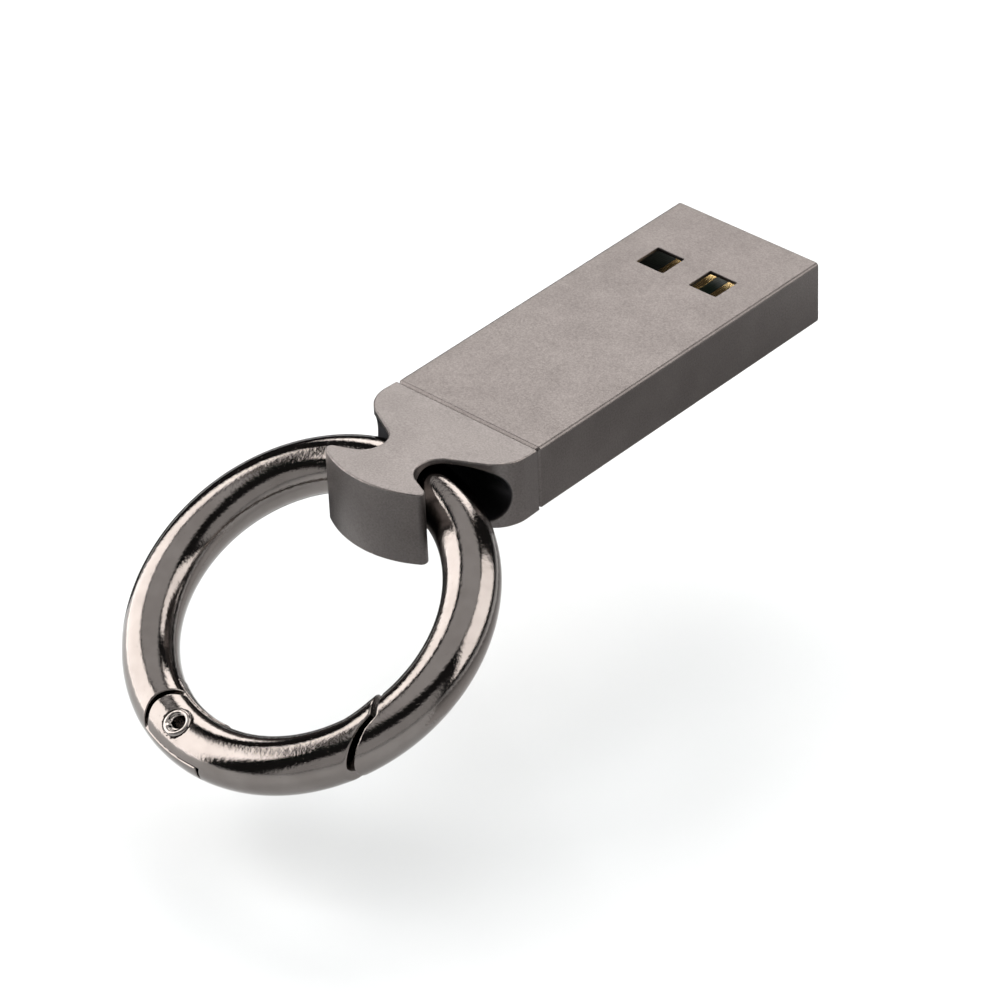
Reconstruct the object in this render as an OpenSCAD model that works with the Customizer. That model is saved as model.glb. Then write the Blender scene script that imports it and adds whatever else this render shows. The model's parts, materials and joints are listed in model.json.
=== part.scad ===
// USB flash drive: one-piece metal sleeve, fishtail end block and a spring-gate split ring.
// Origin: centre of the plug's open front end. +Y is the insertion direction, +Z is the contact side.

/* [Sleeve] */
// Width of the sleeve and of the plug
body_w = 12.0; // [11.9:0.05:12.1]
// Height of the sleeve and of the plug
body_t = 4.6; // [4.5:0.05:4.7]
// Length of the sleeve, plug included
sleeve_l = 27.5; // [27:0.5:32]
// Wall of the sleeve
wall = 0.3; // [0.25:0.01:0.32]
// Radius of the sleeve's four long edges
edge_r = 0.4; // [0.35:0.05:0.6]
// Length of a retention window
window_l = 2.2; // [2:0.1:2.5]
// Width of a retention window
window_w = 2.3; // [2:0.1:2.5]
// Distance from the plug's front end to a window
window_y = 5.16; // [5:0.02:5.3]
// Distance between the two windows' centres
window_pitch = 4.5; // [4.2:0.1:5]

/* [Tail block] */
// Length of the tail block behind the sleeve
tail_l = 9.7; // [9.5:0.1:10.5]
// Height of the tail block at its far end
tail_t = 5.4; // [5.3:0.1:5.6]
// Radius of the shoulders
shoulder_r = 2.6; // [2.4:0.1:2.8]
// Slope of the shoulders' flanks
shoulder_a = 28; // [26:1:30]
// Half width of the waist
waist_hw = 1.7; // [1.6:0.05:1.9]
// Radius of the waist's hollows
waist_r = 1.65; // [1.6:0.05:1.75]
// Distance from the sleeve to the waist
waist_y = 5.9; // [5.8:0.05:6]
// Slope of the fishtail's front flanks
fin_a = 24; // [22:1:26]
// Radius of the fishtail's tips
tip_r = 0.4; // [0.3:0.05:0.5]
// Radius of the fishtail's end face
end_r = 7.6; // [7.2:0.1:8]
// Length of the cross hole
hole_l = 5.0; // [5:0.05:5.1]
// Height of the cross hole
hole_h = 4.14; // [4.12:0.02:4.2]
// Distance from the sleeve to the middle of the cross hole
hole_y = 4.7; // [4.65:0.05:4.75]

/* [Ring] */
// Radius of the ring's centreline
ring_r = 10.7; // [10.65:0.05:10.75]
// Radius of the ring's wire
wire_r = 1.82; // [1.78:0.01:1.83]
// Distance from the sleeve to the swing axis
swing_y = 4.8; // [4.75:0.05:4.85]
// Droop of the ring below the drive's plane
droop_a = 28; // [20:1:40]
// Sideways play taken up by the ring
ring_x = -0.4; // [-0.4:0.1:0]
// Direction of the hinge rivet, seen from the ring's centre
pivot_a = 260.5; // [258:0.5:262]
// Radius of the gate's round heel about the rivet
heel_r = 2.35; // [2.2:0.05:2.4]
// Gap between the heel and the ring body's hollow end
heel_gap = 0.3; // [0.25:0.05:0.35]
// Direction of the hinge tongue's end
tongue_end_a = 273.4; // [272:0.2:274]
// Thickness of the hinge tongue
tongue_t = 1.6; // [1.5:0.05:1.65]
// Width of the gate's slot
slot_t = 1.72; // [1.7:0.02:1.8]
// Gap of the nose joint
nose_gap = 0.42; // [0.4:0.02:0.5]

/* [Hinge and spring] */
// Outer radius of the rivet's shank
rivet_r = 0.7; // [0.65:0.01:0.7]
// Radius of the hole down the rivet
rivet_hole_r = 0.5; // [0.4:0.05:0.55]
// Radius of the rivet's rolled head
head_r = 0.88; // [0.85:0.01:0.95]
// Stand-out of the rivet's head from the ring
head_h = 0.08; // [0.05:0.01:0.12]
// Radius of the bore that holds the coil and plunger
bore_r = 0.66; // [0.64:0.01:0.68]
// Offset of that bore from the rivet, towards the ring's centre
bore_y = 1.1; // [1.05:0.05:1.15]
// Distance from the rivet to the bore's blind end
bore_l = 6.6; // [6.4:0.1:6.8]
// Radius of the plunger
plunger_r = 0.6; // [0.55:0.01:0.6]
// Length of the plunger
plunger_l = 1.9; // [1.7:0.1:2]
// Wire radius of the coil
coil_wire_r = 0.12; // [0.1:0.01:0.14]
// Turns of the coil
coil_turns = 5; // [4:1:6]

/* [Memory module] */
// Width of the module
module_w = 11.3; // [11.2:0.05:11.3]
// Length of the module
module_l = 24.8; // [24.6:0.1:24.9]
// Thickness of the module's board
board_t = 0.3; // [0.25:0.05:0.35]
// Thickness of the module's moulding
mould_t = 1.1; // [1:0.05:1.15]
// Thickness of a gold contact
contact_t = 0.05; // [0.04:0.01:0.08]
// Depth of the plug's cavity
cavity_l = 11.9; // [11.7:0.1:12]

/* [Hidden] */
$fn = 48;
overlap = 0.01;               // how far joined shapes run into each other
inner_w = body_w - 2 * wall;
inner_t = body_t - 2 * wall;
floor_z = -inner_t / 2;
seam = -sleeve_l;
front_gap = 0.6;              // the module starts this far behind the plug's front end
tray_y = 0.3;                 // the carrier tray starts this far behind it
tray_lip = 0.28;              // thickness of the tray's front lip
tray_t = 0.35;                // floor of the carrier tray
tape_t = 0.1;                 // tape between tray and module
tape_w = 10;
tape_inset = 1;               // the tape ends this far inside the module's ends
module_z = floor_z + tray_t + tape_t;
board_z = module_z + mould_t;
board_top = board_z + board_t;
module_back = front_gap + module_l;
spigot_l = sleeve_l - module_back - 0.1;
glue_t = 0.08;                // bond line between spigot and sleeve
press_tongue = [8, 3];        // width and length of the tongue that holds the module down
contact_x = [-3.5, -1.0, 1.0, 3.5];
contact_y = 1.1;              // the contacts start this far behind the plug's front end
long_contact = 7.4;
short_contact = 6.4;
contact_w = 1.0;
chamfer = 0.225;              // side of the square bar that bevels the sleeve's rear edge
stop_l = 4;                   // length of the block that ends the plug's cavity
die_t = 0.3;
film_t = 0.05;
loop_r = 0.3;                 // radius of a bonding wire's loop
bond_wire_r = 0.03;
pad_r = 0.3;
pad_pitch = [1.1, 1.8];
deep = 10;                    // longer than any hole is deep

// Tail outline: centres of the shoulder, waist, tip and end arcs, each tangent to the next flank
flank_n = [-sin(shoulder_a), cos(shoulder_a)];
fin_n = [sin(fin_a), cos(fin_a)];
waist_c = [waist_hw + waist_r, -waist_y];
shoulder_l = (waist_c * -flank_n - shoulder_r - waist_r - (body_w / 2 - shoulder_r) * sin(shoulder_a))
    / cos(shoulder_a);
shoulder_c = [body_w / 2 - shoulder_r, -shoulder_l];
fin_dir = [cos(fin_a), -sin(fin_a)];
end_c = [0, end_r - tail_l];
tip_from = waist_c - (waist_r + tip_r) * fin_n - end_c;
tip_b = fin_dir * tip_from;
tip_s = sqrt(tip_b * tip_b - tip_from * tip_from + (end_r - tip_r) * (end_r - tip_r)) - tip_b;
tip_c = end_c + tip_from + tip_s * fin_dir;
tip_end_a = atan2(tip_c.y - end_c.y, tip_c.x - end_c.x);

// Ring joints, in the ring's own plane
function polar(r, a) = [r * cos(a), r * sin(a)];
function sweep(r, a0, a1, n) = [for (i = [0:n]) polar(r, a0 + (a1 - a0) * i / n)];
ring_out = ring_r + wire_r;
ring_in = ring_r - wire_r;
nose_mid_a = 331;
nose_shift = nose_gap * polar(1, nose_mid_a + 50);
nose_path = [
    polar(ring_out + 1.6, 312.5), polar(ring_out, 320.6), polar(ring_r + 0.15, 330.2),
    polar(ring_r - 0.25, 335.6), polar(ring_in, 342.4), polar(ring_in - 1.2, 348)
];
slot_end_r = 3.25;
cut_in = 5;                   // inner and outer radius of the plates that cut the ring
cut_out = 14.6;
head_seat = 0.3;              // depth of a rivet head's seat below the ring's crown
plunger_x = 2.28;             // distance from the rivet to the plunger's nose
plunger_nose_r = 2;
spring_x0 = plunger_x + plunger_l;

// ---------- shared shapes ----------

// Box between two corners
module block(lo, hi) {
    translate(lo) cube(hi - lo);
}

// Rounded rectangle standing in the XZ plane, drawn out along Y from y0 to y1
module bar(w, t, r, y0, y1) {
    translate([0, y1, 0]) rotate([90, 0, 0]) linear_extrude(y1 - y0) {
        square([w - 2 * r, t], center = true);
        square([w, t - 2 * r], center = true);
        for (x = [-1, 1], z = [-1, 1]) translate([x * (w / 2 - r), z * (t / 2 - r)]) circle(r);
    }
}

// The ring's own frame: centre of the ring, neck towards +Y, drooping by droop_a
module at_ring() {
    translate([ring_x, seam - swing_y, 0]) rotate([droop_a, 0, 0]) translate([0, -ring_r, 0]) children();
}

// The hinge's frame: on the rivet's axis, +X along the gate, +Y towards the ring's centre
module at_pivot() {
    translate(concat(polar(ring_r, pivot_a), 0)) rotate(pivot_a + 90) children();
}

module torus() {
    rotate_extrude($fn = 96) translate([ring_r, 0]) circle(wire_r);
}

// Flat region of the ring's plane, as a thick plate
module plate(points, t) {
    translate([0, 0, -t / 2]) linear_extrude(t) polygon(points);
}

// ---------- sleeve ----------

module plug_sleeve() {
    color("dimgray") difference() {
        bar(body_w, body_t, edge_r, seam, 0);
        bar(inner_w, inner_t, edge_r - wall + 0.05, seam - 1, 1);
        for (x = [-1, 1], z = [-1, 1])
            translate([x * window_pitch / 2 - window_w / 2, -window_y - window_l, z * body_t / 2 - 0.5])
                cube([window_w, window_l, 1]);
        rear_chamfer();
    }
}

// Chamfer round the sleeve's rear edge
module rear_chamfer() {
    for (a = [0, 180]) rotate([0, a, 0]) {
        translate([0, seam, body_t / 2]) rotate([45, 0, 0]) cube([body_w + 1, chamfer, chamfer], center = true);
        translate([body_w / 2, seam, 0]) rotate([0, 0, 45]) cube([chamfer, chamfer, body_t + 1], center = true);
    }
}

// ---------- tail block ----------

// Points of an arc about centre c
function arc(c, r, a0, a1, n) = [for (i = [0:n]) c + polar(r, a0 + (a1 - a0) * i / n)];

// Right half of the outline, from the sleeve to the far end
function half_outline() = concat(
    [[body_w / 2, 0]],
    arc(shoulder_c, shoulder_r, 0, shoulder_a - 90, 12),
    arc(waist_c, waist_r, 90 + shoulder_a, 270 - fin_a, 18),
    arc(tip_c, tip_r, 90 - fin_a, tip_end_a, 8),
    arc(end_c, end_r, tip_end_a, -90, 10));

module tail_outline() {
    right = half_outline();
    left = [for (i = [len(right) - 2:-1:0]) [-right[i].x, right[i].y]];
    polygon(concat(right, left));
}

// Side view of the block: a little thicker towards its far end
module tail_side() {
    polygon([[0, body_t / 2], [-tail_l - 1, tail_t / 2 + (tail_t - body_t) / tail_l / 2],
        [-tail_l - 1, -tail_t / 2 - (tail_t - body_t) / tail_l / 2], [0, -body_t / 2]]);
}

// Rounded slot along X, in the seam's frame
module cross_slot(l, h, w) {
    translate([-w / 2, -hole_y, 0]) rotate([90, 0, 90]) linear_extrude(w) {
        square([l - h, h], center = true);
        for (y = [-1, 1]) translate([y * (l - h) / 2, 0]) circle(h / 2);
    }
}

module tail_block() {
    color("gray") {
        translate([0, seam, 0]) difference() {
            intersection() {
                translate([0, 0, -deep / 2]) linear_extrude(deep) tail_outline();
                rotate([90, 0, 90]) translate([0, 0, -body_w]) linear_extrude(2 * body_w) tail_side();
            }
            cross_slot(hole_l, hole_h, 2 * body_w);
        }
        bar(inner_w - 2 * glue_t, inner_t - 2 * glue_t, 0.2, seam, seam + spigot_l);
        block([-press_tongue[0] / 2, seam + spigot_l - overlap, board_top + 0.05],
            [press_tongue[0] / 2, seam + spigot_l + press_tongue[1], inner_t / 2 - glue_t]);
    }
}

// Bond line round the spigot
module tail_adhesive() {
    color("khaki") difference() {
        bar(inner_w, inner_t, edge_r - wall + 0.05, seam + 0.3, seam + spigot_l - 0.1);
        bar(inner_w - 2 * glue_t, inner_t - 2 * glue_t, 0.2, seam, seam + spigot_l);
    }
}

// ---------- carrier and memory module ----------

module carrier_tray() {
    rail_w = (inner_w - module_w) / 2 - 0.01;
    color("black") intersection() {
        union() {
            block([-inner_w / 2, -module_back, floor_z], [inner_w / 2, -tray_y, floor_z + tray_t]);
            block([-inner_w / 2, -tray_y - tray_lip, floor_z], [inner_w / 2, -tray_y, board_top]);
            for (x = [-1, 1]) translate([x * (inner_w - rail_w) / 2, 0, 0])
                block([-rail_w / 2, -module_back, floor_z], [rail_w / 2, -tray_y, board_top]);
        }
        bar(inner_w, inner_t, edge_r - wall + 0.05, seam, 0);
    }
}

// Block that ends the plug's cavity and presses the module down
module cavity_stop() {
    pocket = [3.2, 3.2];
    color("black") difference() {
        bar(inner_w, inner_t, edge_r - wall + 0.05, -cavity_l - stop_l, -cavity_l);
        block([-inner_w, -cavity_l - stop_l - 1, -inner_t], [inner_w, 0, board_top + overlap]);
        for (x = [-1, 1]) translate([x * pocket.x - pocket.x / 2, -cavity_l - stop_l - 0.6, 0])
            cube([pocket.x, pocket.y, inner_t / 2 - 0.4]);
    }
}

module module_tape() {
    color("white") block([-tape_w / 2, -module_back + tape_inset, floor_z + tray_t],
        [tape_w / 2, -front_gap - tape_inset, module_z]);
}

// Places of the chips in the moulding: [centre x, centre y, size x, size y, underside z, top z]
controller = [0, -8.2, 3.2, 3.0, board_z - film_t - die_t, board_z - film_t];
nand_lower = [0, -17.0, 9.4, 8.2, board_z - film_t - die_t, board_z - film_t];
nand_upper = [0.4, -17.0, 8.6, 8.2, board_z - 2 * (film_t + die_t), board_z - 2 * film_t - die_t];

module chip(p) {
    block([p[0] - p[2] / 2, p[1] - p[3] / 2, p[4]], [p[0] + p[2] / 2, p[1] + p[3] / 2, p[5]]);
}

// Film between a chip and what it is stuck to
module film(p) {
    block([p[0] - p[2] / 2, p[1] - p[3] / 2, p[5]], [p[0] + p[2] / 2, p[1] + p[3] / 2, p[5] + film_t]);
}

module controller_die() {
    color("slategray") chip(controller);
}

module nand_die_lower() {
    color("slategray") chip(nand_lower);
}

module nand_die_upper() {
    color("slategray") chip(nand_upper);
}

module die_films() {
    color("goldenrod") for (p = [controller, nand_lower, nand_upper]) film(p);
}

// One bonding wire: a half loop in the YZ plane, hanging below the board
module bond_loop(x, y) {
    translate([x, y, board_z]) rotate([0, 90, 0])
        rotate_extrude(angle = 180, $fn = 24) translate([loop_r, 0]) circle(bond_wire_r, $fn = 16);
}

module bond_wires() {
    edge = loop_r + 0.08;     // how far a loop's middle stands off its chip
    color("gold") {
        for (i = [-3:3], side = [-1, 1]) bond_loop(i * 0.45, controller[1] + side * (controller[3] / 2 + edge));
        for (i = [-5:5]) bond_loop(i * 0.8, nand_lower[1] + nand_lower[3] / 2 + edge);
    }
}

module passive_parts() {
    for (x = [-4.3, -3.1, 3.1, 4.3], y = [-7.2, -9.2])
        block([x - 0.25, y - 0.5, board_z - 0.5], [x + 0.25, y + 0.5, board_z]);
}

module passives() {
    color("tan") passive_parts();
}

// Black moulding over the chips
module mould_body() {
    color("black") difference() {
        block([-module_w / 2, -module_back, module_z], [module_w / 2, -front_gap, board_z]);
        for (p = [controller, nand_lower, nand_upper]) {
            chip(p);
            film(p);
        }
        passive_parts();
    }
}

module substrate_board() {
    color("darkgreen")
        block([-module_w / 2, -module_back, board_z], [module_w / 2, -front_gap, board_top]);
}

module test_pads() {
    color("gold") for (i = [-4:4], j = [0:1])
        translate([i * pad_pitch.x, -17.5 - pad_pitch.y * j, board_top]) cylinder(r = pad_r, h = contact_t);
}

module contact(i, l) {
    color("gold") translate([contact_x[i] - contact_w / 2, -contact_y - l, board_top])
        cube([contact_w, l, contact_t]);
}

module contact_vbus() {
    contact(3, long_contact);
}

module contact_d_minus() {
    contact(2, short_contact);
}

module contact_d_plus() {
    contact(1, short_contact);
}

module contact_gnd() {
    contact(0, long_contact);
}

// ---------- split ring ----------

// Part of the ring's plane that belongs to the gate, from the rivet to the nose joint
function gate_region(shift) = concat(
    [polar(cut_in, pivot_a), polar(cut_out, pivot_a)],
    sweep(cut_out, pivot_a + 8, 306, 6),
    [for (p = nose_path) p + shift],
    sweep(cut_in, 345, pivot_a + 20, 4));

// The gate's share of the ring: its region and the round heel behind the rivet
module gate_share(shift, r) {
    plate(gate_region(shift), 3 * wire_r);
    at_pivot() cylinder(r = r, h = 3 * wire_r, center = true, $fn = 96);
}

module tongue() {
    root_a = pivot_a - 20;
    intersection() {
        torus();
        plate(concat([polar(cut_in, root_a)], sweep(cut_out, root_a, tongue_end_a, 4),
            [polar(cut_in, tongue_end_a)]), tongue_t);
    }
}

module ring_body() {
    color("darkslategray") at_ring() difference() {
        union() {
            difference() {
                torus();
                gate_share(nose_shift, heel_r + heel_gap);
            }
            tongue();
        }
        at_pivot() cylinder(r = rivet_r + 0.05, h = deep, center = true);
    }
}

module ring_gate() {
    color("darkslategray") at_ring() difference() {
        intersection() {
            torus();
            gate_share([0, 0], heel_r);
        }
        at_pivot() {
            cylinder(r = slot_end_r, h = slot_t, center = true, $fn = 96);
            cylinder(r = rivet_r, h = deep, center = true);
            for (z = [-1, 1]) translate([0, 0, z * (wire_r - head_seat + 1)])
                cylinder(r = head_r, h = 2, center = true);
            translate([0, bore_y, 0]) rotate([0, 90, 0]) cylinder(r = bore_r, h = bore_l);
        }
    }
}

// Tubular rivet with a rolled head at each end
module hinge_rivet() {
    color("silver") at_ring() at_pivot() difference() {
        union() {
            cylinder(r = rivet_r, h = 2 * (wire_r + head_h), center = true);
            for (z = [-1, 1]) translate([0, 0, z * (wire_r + (head_h - head_seat) / 2)])
                cylinder(r = head_r, h = head_h + head_seat, center = true);
        }
        cylinder(r = rivet_hole_r, h = deep, center = true);
    }
}

// Pin with a round nose that the coil presses on the tongue
module spring_plunger() {
    color("silver") at_ring() at_pivot() translate([plunger_x, bore_y, 0]) rotate([0, 90, 0])
        intersection() {
            cylinder(r = plunger_r, h = plunger_l);
            translate([0, 0, plunger_nose_r]) sphere(plunger_nose_r, $fn = 64);
        }
}

// Compression coil between the plunger and the bore's blind end
module gate_spring() {
    end_gap = 0.02;
    coil_r = bore_r - coil_wire_r - 0.06;
    coil_l = bore_l - spring_x0 - 2 * (coil_wire_r + end_gap);
    sides = 8;
    steps = 16 * coil_turns;
    ring_pts = [for (i = [0:steps], j = [0:sides - 1])
        let (a = 360 * coil_turns * i / steps, b = 360 * j / sides, r = coil_r + coil_wire_r * cos(b))
        [r * cos(a), r * sin(a), coil_l * i / steps + coil_wire_r * sin(b)]];
    side_faces = [for (i = [0:steps - 1], j = [0:sides - 1])
        let (a = i * sides + j, b = i * sides + (j + 1) % sides)
        [a, a + sides, b + sides, b]];
    caps = [[for (j = [0:sides - 1]) j], [for (j = [sides - 1:-1:0]) steps * sides + j]];
    color("silver") at_ring() at_pivot()
        translate([spring_x0 + coil_wire_r + end_gap, bore_y, 0]) rotate([0, 90, 0])
            polyhedron(ring_pts, concat(side_faces, caps), convexity = 10);
}

plug_sleeve();
tail_block();
tail_adhesive();
carrier_tray();
cavity_stop();
module_tape();
mould_body();
substrate_board();
controller_die();
nand_die_lower();
nand_die_upper();
die_films();
bond_wires();
passives();
test_pads();
contact_vbus();
contact_d_minus();
contact_d_plus();
contact_gnd();
ring_body();
ring_gate();
hinge_rivet();
spring_plunger();
gate_spring();
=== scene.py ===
import json
import math

import bmesh
import bpy
import numpy as np
from mathutils import Matrix, Vector


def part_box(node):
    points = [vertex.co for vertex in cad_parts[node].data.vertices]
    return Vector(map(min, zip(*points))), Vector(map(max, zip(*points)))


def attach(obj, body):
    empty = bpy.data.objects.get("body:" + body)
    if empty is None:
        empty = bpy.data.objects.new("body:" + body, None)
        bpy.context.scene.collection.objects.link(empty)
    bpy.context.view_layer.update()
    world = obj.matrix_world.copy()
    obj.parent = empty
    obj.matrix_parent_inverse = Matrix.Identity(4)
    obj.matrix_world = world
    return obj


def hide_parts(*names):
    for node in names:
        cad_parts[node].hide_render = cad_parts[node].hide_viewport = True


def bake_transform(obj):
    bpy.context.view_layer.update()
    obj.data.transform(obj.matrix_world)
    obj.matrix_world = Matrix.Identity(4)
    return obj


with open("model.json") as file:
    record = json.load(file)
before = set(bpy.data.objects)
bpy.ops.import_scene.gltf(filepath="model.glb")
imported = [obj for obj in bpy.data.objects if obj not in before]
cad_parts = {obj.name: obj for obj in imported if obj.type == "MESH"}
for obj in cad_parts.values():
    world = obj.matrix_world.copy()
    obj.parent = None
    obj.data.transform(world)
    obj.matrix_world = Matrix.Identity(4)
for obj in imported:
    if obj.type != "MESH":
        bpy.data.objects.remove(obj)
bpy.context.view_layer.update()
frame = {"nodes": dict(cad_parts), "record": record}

MM = 0.001
RING_CELL = 0.09     # grids of the cast pieces, in mm
TAIL_CELL = 0.07
RIVET_CELL = 0.04

# ---------------------------------------------------------------- frame, in millimetres


def mm_box(node):
    """Lowest and highest corner of a CAD node, in mm."""
    low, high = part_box(node)
    return np.array(low) / MM, np.array(high) / MM


sleeve_low, sleeve_high = mm_box("plug_sleeve")
BODY_W = sleeve_high[0] - sleeve_low[0]
BODY_T = sleeve_high[2] - sleeve_low[2]
SEAM = sleeve_low[1]
tail_low, tail_high = mm_box("tail_block")
TAIL_L = SEAM - tail_low[1]
TAIL_T = tail_high[2] - tail_low[2]
WALL = 0.3

joints = {joint["name"]: joint for joint in frame["record"]["behaviour"]["joints"]}
SWING = np.array(joints["ring_swing"]["pos_m"]) / MM
PIVOT = np.array(joints["gate_pivot"]["pos_m"]) / MM
RING_N = np.array(joints["gate_pivot"]["axis"])
RING_N = RING_N / np.linalg.norm(RING_N)
RING_B = np.cross(RING_N, (1.0, 0.0, 0.0))          # in the ring's plane, towards the neck
GATE_T = np.array(joints["plunger_slide"]["axis"])
GATE_T = GATE_T / np.linalg.norm(GATE_T)

WIRE_R = 1.82
RING_R = 10.7
RING_C = np.array([(mm_box("ring_body")[0][0] + mm_box("ring_body")[1][0]) / 2, SWING[1], SWING[2]])
RING_C = RING_C - RING_R * RING_B
PIVOT_A = math.degrees(math.atan2((PIVOT - RING_C) @ RING_B, (PIVOT - RING_C)[0]))

# ---------------------------------------------------------------- meshes from distance fields


def rounded_and(a, b, r):
    """Distance to what is in both shapes, its outer edge rounded to radius r."""
    return np.minimum(np.maximum(a, b) + r, 0) + np.hypot(np.maximum(a + r, 0), np.maximum(b + r, 0)) - r


def soft_or(a, b, r):
    """Distance to what is in either shape, with a fillet of about r where they meet."""
    h = np.maximum(r - np.abs(a - b), 0) / r
    return np.minimum(a, b) - h * h * r / 4


def box_distance(x, y, z, low, high, r=0.08):
    """Distance to a box with rounded edges."""
    d = [np.abs(v - (lo + hi) / 2) - (hi - lo) / 2 + r for v, lo, hi in zip((x, y, z), low, high)]
    outside = np.sqrt(sum(np.maximum(v, 0) ** 2 for v in d))
    return outside + np.minimum(np.maximum(np.maximum(d[0], d[1]), d[2]), 0) - r


def polygon_distance(points, x, y):
    """Signed distance to a flat polygon, negative inside."""
    best = np.full(np.broadcast(x, y).shape, 1e9)
    inside = np.zeros(best.shape, dtype=bool)
    for (ax, ay), (bx, by) in zip(points, points[1:] + points[:1]):
        ex, ey = bx - ax, by - ay
        t = np.clip(((x - ax) * ex + (y - ay) * ey) / (ex * ex + ey * ey), 0, 1)
        best = np.minimum(best, (x - ax - t * ex) ** 2 + (y - ay - t * ey) ** 2)
        crosses = ((ay > y) != (by > y)) & (x < ex * (y - ay) / (ey if ey else 1e-12) + ax)
        inside ^= crosses
    return np.where(inside, -1, 1) * np.sqrt(best)


def gradient(field, p, h=0.004):
    """Slope of a distance field at points p."""
    out = np.empty_like(p)
    for axis in range(3):
        step = np.zeros(3)
        step[axis] = h
        ahead, behind = p + step, p - step
        out[:, axis] = field(*ahead.T) - field(*behind.T)
    return out / (2 * h)


def net_surface(field, low, high, cell):
    """Vertices, quads and normals of a distance field's surface, by the surface-nets rule."""
    axes = [np.arange(lo - 1.5 * cell, hi + 2.5 * cell, cell) for lo, hi in zip(low, high)]
    gx, gy, gz = axes[0][:, None, None], axes[1][None, :, None], axes[2][None, None, :]
    value = np.broadcast_to(field(gx, gy, gz), [len(a) for a in axes]).astype(np.float32)
    inside = value < 0
    shape = [n - 1 for n in value.shape]
    corners = [(i, j, k) for i in (0, 1) for j in (0, 1) for k in (0, 1)]

    def part(array, corner):
        return array[tuple(slice(c, c + n) for c, n in zip(corner, shape))]

    count = sum(part(inside, c).astype(np.int8) for c in corners)
    cells = np.argwhere((count > 0) & (count < 8))
    index = np.full(shape, -1)
    index[tuple(cells.T)] = np.arange(len(cells))
    total = np.zeros((len(cells), 3))
    hits = np.zeros(len(cells))
    for c in corners:
        for axis in range(3):
            if c[axis]:
                continue
            far = list(c)
            far[axis] = 1
            v0 = value[tuple((cells + c).T)]
            v1 = value[tuple((cells + far).T)]
            cross = (v0 < 0) != (v1 < 0)
            t = np.where(cross, v0 / np.where(cross, v0 - v1, 1), 0)
            point = np.array(c, dtype=float)[None, :].repeat(len(cells), axis=0)
            point[:, axis] += t
            total += point * cross[:, None]
            hits += cross
    origin = np.array([a[0] for a in axes])
    points = origin + (cells + total / hits[:, None]) * cell

    quads = []
    for axis in range(3):
        u, v = (axis + 1) % 3, (axis + 2) % 3
        here = [slice(1, n) for n in shape]
        here[axis] = slice(0, shape[axis])
        ahead = list(here)
        ahead[axis] = slice(1, shape[axis] + 1)
        start, end = inside[tuple(here)], inside[tuple(ahead)]
        for leaving in (True, False):
            at = np.argwhere(start & ~end if leaving else end & ~start)
            at = at + [0 if i == axis else 1 for i in range(3)]
            ring = []
            for du, dv in ((1, 1), (0, 1), (0, 0), (1, 0)):
                near = at.copy()
                near[:, u] -= du
                near[:, v] -= dv
                ring.append(index[tuple(near.T)])
            quads.append(np.stack(ring if leaving else ring[::-1], axis=1))
    for _ in range(4):
        slope = gradient(field, points)
        length2 = np.maximum((slope ** 2).sum(axis=1), 0.2)
        move = field(*points.T) / length2
        points = points - slope * np.clip(move, -cell / 2, cell / 2)[:, None]
    normal = gradient(field, points)
    normal = normal / np.maximum(np.linalg.norm(normal, axis=1), 1e-9)[:, None]
    return points, np.concatenate(quads), normal


def mesh_object(name, points, faces, normals=None):
    """A smooth-shaded mesh object from points in mm, in the row frame."""
    mesh = bpy.data.meshes.new(name)
    mesh.from_pydata((np.asarray(points) * MM).tolist(), [], [list(map(int, f)) for f in faces])
    mesh.validate()
    mesh.polygons.foreach_set("use_smooth", [True] * len(mesh.polygons))
    if normals is not None:
        mesh.normals_split_custom_set_from_vertices(np.asarray(normals).tolist())
    mesh.update()
    obj = bpy.data.objects.new(name, mesh)
    bpy.context.collection.objects.link(obj)
    return obj


# ---------------------------------------------------------------- ring pieces

RING_AXES = np.array([(1.0, 0.0, 0.0), RING_B, RING_N])
RING_OUT, RING_IN = RING_R + WIRE_R, RING_R - WIRE_R
HEEL_R, HEEL_GAP, TONGUE_END_A = 2.35, 0.3, 273.4
TONGUE_T, TONGUE_PROUD, SLOT_T, SLOT_END_R = 1.6, 0.06, 1.8, 3.25
NOSE_GAP, NOSE_MID_A = 0.38, 331.0
LIP_PROUD, LIP_A, LIP_RISE = 0.2, 326.0, 12.0
RIVET_R, RIVET_HEAD_R, SEAT_R = 0.7, 0.93, 0.99
BORE_R, BORE_Y, BORE_L = 0.66, 1.1, 6.6
BODY_EDGE, GATE_EDGE, TONGUE_EDGE = 0.1, 0.12, 0.05     # radii that sharp edges are rounded to
SLOT_EDGE, SEAT_EDGE = 0.06, 0.05
TONGUE_ROOT = 20.0                                      # degrees of tongue buried in the ring body
HOLE_PLAY, SHANK_PLAY, SEAT_Z = 0.05, 0.02, 1.5
NOSE_SIDE_U = 4.0                                       # the nose joint lies beyond this u
FAR = 9.0                                               # stands for a distance well outside a piece


def polar(r, a):
    """Point at radius r and a degrees, anticlockwise from +u."""
    return r * math.cos(math.radians(a)), r * math.sin(math.radians(a))


NOSE_PATH = [
    polar(RING_OUT + 1.6, 312.5), polar(RING_OUT, 320.6), polar(RING_R + 0.15, 330.2),
    polar(RING_R - 0.25, 335.6), polar(RING_IN, 342.4), polar(RING_IN - 1.2, 348),
]


def nose_region(gap):
    """Outline of the side of the nose joint that holds the gate, pushed on by gap."""
    dx, dy = polar(gap, NOSE_MID_A + 50)
    return [polar(3, 275), polar(18, 275), polar(18, 306)] + [(x + dx, y + dy) for x, y in NOSE_PATH]


def past_radius(u, v, a):
    """Distance to the half plane that lies before direction a, going anticlockwise."""
    c, s = math.cos(math.radians(a)), math.sin(math.radians(a))
    return c * v - s * u


def torus_distance(u, v, w, r=WIRE_R):
    """Distance to the ring's round wire of radius r."""
    return np.hypot(np.hypot(u, v) - RING_R, w) - r


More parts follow.
